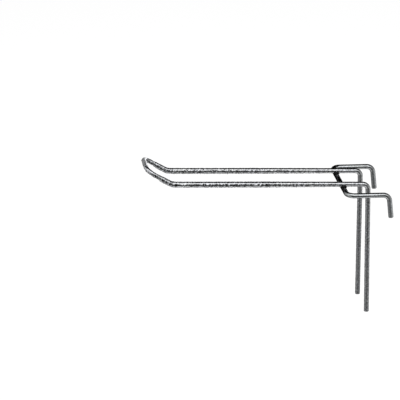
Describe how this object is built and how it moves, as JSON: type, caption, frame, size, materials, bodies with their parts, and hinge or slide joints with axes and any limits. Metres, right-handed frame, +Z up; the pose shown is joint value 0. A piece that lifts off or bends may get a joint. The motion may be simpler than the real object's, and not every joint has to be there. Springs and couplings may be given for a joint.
{
  "type": "double gridwall hook",
  "caption": "Wire display hook: paired prongs joined at a raised tip, brace legs below, and a welded mount wire whose claws drop behind a grid panel's wire.",
  "frame": {"origin": "midway between the mount arms, on their underside, halfway between the legs and the claws: where the grid's top wire seats", "axes": "+Y towards the wall, +Z up, +X to one side; the prongs run out along -Y and rise slightly towards the tip"},
  "size_m": [0.0812, 0.2487, 0.1746],
  "materials": {
    "prong_plating": "bright plated wire, finely speckled along the prongs",
    "mount_plating": "bright plated wire",
    "weld_metal": "dull plated weld metal"
  },
  "bodies": {
    "root": {"prong_wire": "prong_plating", "mount_wire": "mount_plating", "weld_left": "weld_metal", "weld_right": "weld_metal"}
  },
  "joints": []
}
